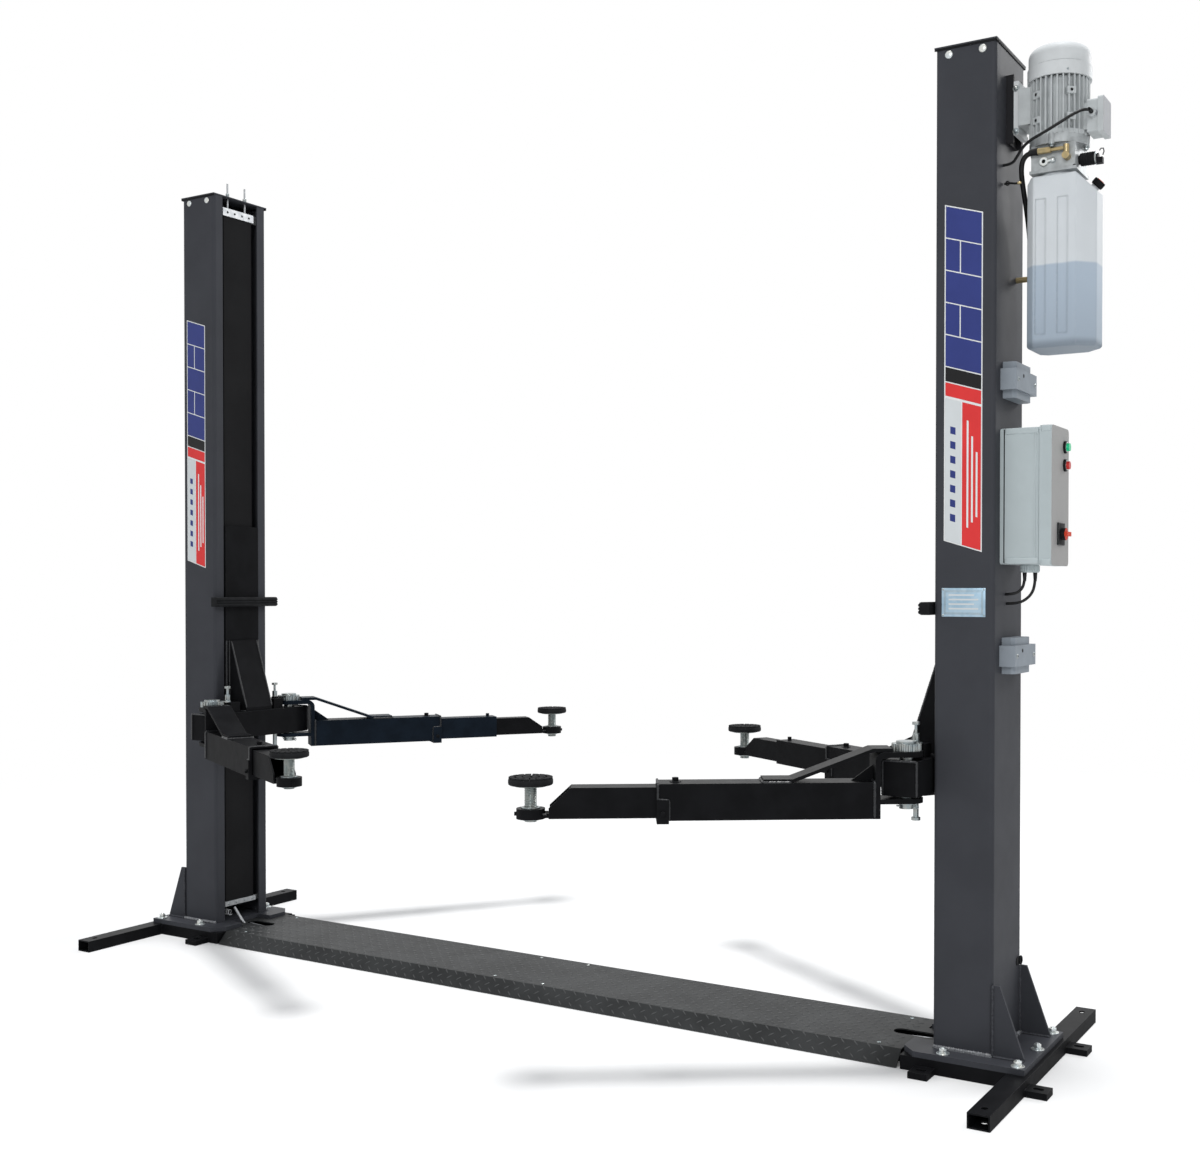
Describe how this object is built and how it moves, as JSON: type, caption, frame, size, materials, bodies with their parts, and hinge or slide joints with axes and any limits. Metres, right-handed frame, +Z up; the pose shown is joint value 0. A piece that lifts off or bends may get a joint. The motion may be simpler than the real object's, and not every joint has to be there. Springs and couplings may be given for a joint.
{
  "type": "two post car lift",
  "caption": "Base-frame car lift: two posts with sliding carriages, swivelling telescopic arms with rubber pads, a hydraulic power unit and a control box.",
  "frame": {"origin": "on the floor, midway between the two posts, at the underside of the base frame's middle tie", "axes": "+X from the left post to the right post that carries the power unit, +Y from the front to the rear, +Z up"},
  "size_m": [3.66, 1.9368, 2.88],
  "materials": {
    "post_powder_coat": "textured anthracite powder coat",
    "black_paint": "satin black enamel",
    "checker_sheet": "black painted checker sheet",
    "zinc_plate": "bright zinc plating",
    "black_rubber": "moulded black rubber",
    "dust_cover_fabric": "coated black fabric strip",
    "grey_plastic": "moulded grey plastic",
    "light_plastic": "light grey moulded plastic",
    "motor_paint": "silver painted cast aluminium",
    "cowl_paint": "silver painted sheet steel",
    "cast_aluminium": "raw cast aluminium",
    "tank_plastic": "translucent moulded plastic",
    "black_plastic": "black moulded plastic",
    "brass": "machined brass",
    "red_plastic": "red moulded plastic",
    "green_lens": "green lens plastic",
    "hose_rubber": "black hose rubber",
    "cable_sheath": "black cable sheath"
  },
  "bodies": {
    "root": {"post_left": "post_powder_coat", "post_right": "post_powder_coat", "base_plates": "post_powder_coat", "foot_frames": "black_paint", "base_rails": "black_paint", "post_gussets": "post_powder_coat", "cover_plate": "checker_sheet", "dust_covers": "dust_cover_fabric", "cover_clamps": "zinc_plate", "lock_covers": "grey_plastic", "control_box": "light_plastic", "control_lid": "light_plastic", "motor_bracket": "black_paint", "motor_housing": "motor_paint", "fan_cowl": "cowl_paint", "terminal_box": "motor_paint", "pump_block": "cast_aluminium", "oil_tank": "tank_plastic", "tank_cap": "black_plastic", "release_valve": "black_plastic", "hose_fitting": "brass", "hydraulic_hose": "hose_rubber", "motor_cable": "cable_sheath", "control_cable_near": "cable_sheath", "control_cable_far": "cable_sheath"},
    "up_button": {"up_button": "green_lens"},
    "down_button": {"down_button": "red_plastic"},
    "isolator_switch": {"isolator_switch": "red_plastic"},
    "carriage_left": {"carriage_left": "black_paint", "door_bumper_left": "black_rubber", "pivot_pins_left": "zinc_plate"},
    "carriage_right": {"carriage_right": "black_paint", "door_bumper_right": "black_rubber", "pivot_pins_right": "zinc_plate"},
    "lock_rod_front_left": {"lock_rod_front_left": "zinc_plate"},
    "arm_front_left": {"arm_outer_front_left": "black_paint", "arm_gear_front_left": "zinc_plate"},
    "inner_front_left": {"arm_inner_front_left": "black_paint"},
    "pad_front_left": {"pad_screw_front_left": "zinc_plate", "lift_pad_front_left": "black_rubber"},
    "lock_rod_front_right": {"lock_rod_front_right": "zinc_plate"},
    "arm_front_right": {"arm_outer_front_right": "black_paint", "arm_gear_front_right": "zinc_plate"},
    "inner_front_right": {"arm_inner_front_right": "black_paint"},
    "pad_front_right": {"pad_screw_front_right": "zinc_plate", "lift_pad_front_right": "black_rubber"},
    "lock_rod_rear_left": {"lock_rod_rear_left": "zinc_plate"},
    "arm_rear_left": {"arm_outer_rear_left": "black_paint", "arm_gear_rear_left": "zinc_plate"},
    "middle_rear_left": {"arm_middle_rear_left": "black_paint"},
    "inner_rear_left": {"arm_inner_rear_left": "black_paint"},
    "pad_rear_left": {"pad_screw_rear_left": "zinc_plate", "lift_pad_rear_left": "black_rubber"},
    "lock_rod_rear_right": {"lock_rod_rear_right": "zinc_plate"},
    "arm_rear_right": {"arm_outer_rear_right": "black_paint", "arm_gear_rear_right": "zinc_plate"},
    "middle_rear_right": {"arm_middle_rear_right": "black_paint"},
    "inner_rear_right": {"arm_inner_rear_right": "black_paint"},
    "pad_rear_right": {"pad_screw_rear_right": "zinc_plate", "lift_pad_rear_right": "black_rubber"}
  },
  "joints": [
    {"name": "lift_left", "type": "slide", "parent": "root", "child": "carriage_left", "axis": [0, 0, 1], "range_m": [-0.6, 1.14]},
    {"name": "lift_right", "type": "slide", "parent": "root", "child": "carriage_right", "axis": [0, 0, 1], "range_m": [-0.6, 1.14]},
    {"name": "lock_rod_front_left", "type": "slide", "parent": "carriage_left", "child": "lock_rod_front_left", "axis": [0, 0, 1], "range_m": [0, 0.015], "stiffness_N_per_m": 1500, "springref_m": -0.02},
    {"name": "swing_front_left", "type": "hinge", "parent": "carriage_left", "child": "arm_front_left", "pos_m": [-1.38, -0.19, 0.8], "axis": [0, 0, -1], "range_deg": [-27.4, 62.6]},
    {"name": "extend_front_left", "type": "slide", "parent": "arm_front_left", "child": "inner_front_left", "axis": [0.8878, -0.4602, 0], "range_m": [-0.21, 0.11]},
    {"name": "pad_height_front_left", "type": "slide", "parent": "inner_front_left", "child": "pad_front_left", "axis": [0, 0, 1], "range_m": [-0.04, 0.02]},
    {"name": "lock_rod_front_right", "type": "slide", "parent": "carriage_right", "child": "lock_rod_front_right", "axis": [0, 0, 1], "range_m": [0, 0.015], "stiffness_N_per_m": 1500, "springref_m": -0.02},
    {"name": "swing_front_right", "type": "hinge", "parent": "carriage_right", "child": "arm_front_right", "pos_m": [1.38, -0.19, 0.8], "axis": [0, 0, 1], "range_deg": [-33.4, 56.6]},
    {"name": "extend_front_right", "type": "slide", "parent": "arm_front_right", "child": "inner_front_right", "axis": [-0.8348, -0.5505, 0], "range_m": [-0.27, 0.06]},
    {"name": "pad_height_front_right", "type": "slide", "parent": "inner_front_right", "child": "pad_front_right", "axis": [0, 0, 1], "range_m": [-0.04, 0.02]},
    {"name": "lock_rod_rear_left", "type": "slide", "parent": "carriage_left", "child": "lock_rod_rear_left", "axis": [0, 0, 1], "range_m": [0, 0.015], "stiffness_N_per_m": 1500, "springref_m": -0.02},
    {"name": "swing_rear_left", "type": "hinge", "parent": "carriage_left", "child": "arm_rear_left", "pos_m": [-1.38, 0.19, 0.8], "axis": [0, 0, 1], "range_deg": [-53, 37]},
    {"name": "extend_middle_rear_left", "type": "slide", "parent": "arm_rear_left", "child": "middle_rear_left", "axis": [0.6018, 0.7986, 0], "range_m": [-0.19, 0.05]},
    {"name": "extend_rear_left", "type": "slide", "parent": "middle_rear_left", "child": "inner_rear_left", "axis": [0.6018, 0.7986, 0], "range_m": [-0.18, 0.1]},
    {"name": "pad_height_rear_left", "type": "slide", "parent": "inner_rear_left", "child": "pad_rear_left", "axis": [0, 0, 1], "range_m": [-0.04, 0.02]},
    {"name": "lock_rod_rear_right", "type": "slide", "parent": "carriage_right", "child": "lock_rod_rear_right", "axis": [0, 0, 1], "range_m": [0, 0.015], "stiffness_N_per_m": 1500, "springref_m": -0.02},
    {"name": "swing_rear_right", "type": "hinge", "parent": "carriage_right", "child": "arm_rear_right", "pos_m": [1.38, 0.19, 0.8], "axis": [0, 0, -1], "range_deg": [-30.3, 59.7]},
    {"name": "extend_middle_rear_right", "type": "slide", "parent": "arm_rear_right", "child": "middle_rear_right", "axis": [-0.8634, 0.5045, 0], "range_m": [-0.27, 0.04]},
    {"name": "extend_rear_right", "type": "slide", "parent": "middle_rear_right", "child": "inner_rear_right", "axis": [-0.8634, 0.5045, 0], "range_m": [-0.2, 0.05]},
    {"name": "pad_height_rear_right", "type": "slide", "parent": "inner_rear_right", "child": "pad_rear_right", "axis": [0, 0, 1], "range_m": [-0.04, 0.02]},
    {"name": "press_up", "type": "slide", "parent": "root", "child": "up_button", "axis": [-1, 0, 0], "range_m": [0, 0.004], "stiffness_N_per_m": 800, "springref_m": -0.002},
    {"name": "press_down", "type": "slide", "parent": "root", "child": "down_button", "axis": [-1, 0, 0], "range_m": [0, 0.004], "stiffness_N_per_m": 800, "springref_m": -0.002},
    {"name": "turn_isolator", "type": "hinge", "parent": "root", "child": "isolator_switch", "pos_m": [1.76, 0, 1.483], "axis": [1, 0, 0], "range_deg": [0, 90]}
  ],
  "couplings": [
    {"joint": "lift_right", "follows": "lift_left", "ratio": 1}
  ]
}
